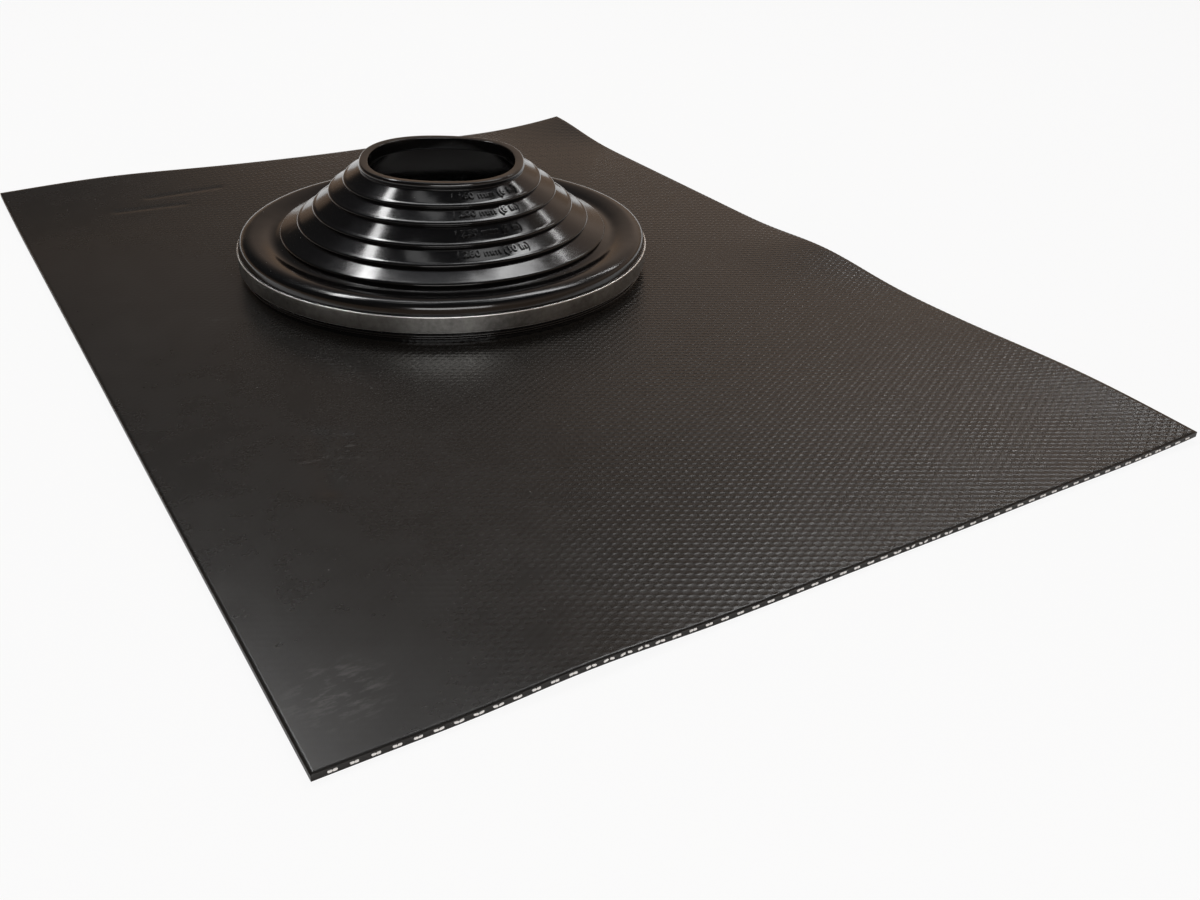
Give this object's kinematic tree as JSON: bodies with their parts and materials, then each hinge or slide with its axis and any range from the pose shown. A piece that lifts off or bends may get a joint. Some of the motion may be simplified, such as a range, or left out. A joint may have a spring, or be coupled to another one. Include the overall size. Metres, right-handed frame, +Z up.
{
  "type": "pipe flashing boot",
  "caption": "Stepped rubber cone with a metal band on a black flashing sheet with an expanded aluminium mesh inside, for sealing a pipe through a pitched roof.",
  "frame": {"origin": "middle of the sheet's underside, on the surface it lies on", "axes": "+Z up, out of the pipe opening; +Y along the sheet towards the short end that the boot is nearer to; +X across the sheet"},
  "size_m": [0.64, 0.9, 0.0974],
  "materials": {
    "boot_rubber": "glossy moulded rubber",
    "band_metal": "satin rolled strip",
    "ring_metal": "satin rolled strip",
    "sheet_rubber": "semi-gloss, embossed by the mesh",
    "mesh_metal": "bright cut strands"
  },
  "bodies": {
    "root": {"boot": "boot_rubber", "clamp_band": "band_metal", "support_ring": "ring_metal", "flashing_sheet": "sheet_rubber", "expanded_mesh": "mesh_metal"}
  },
  "joints": []
}
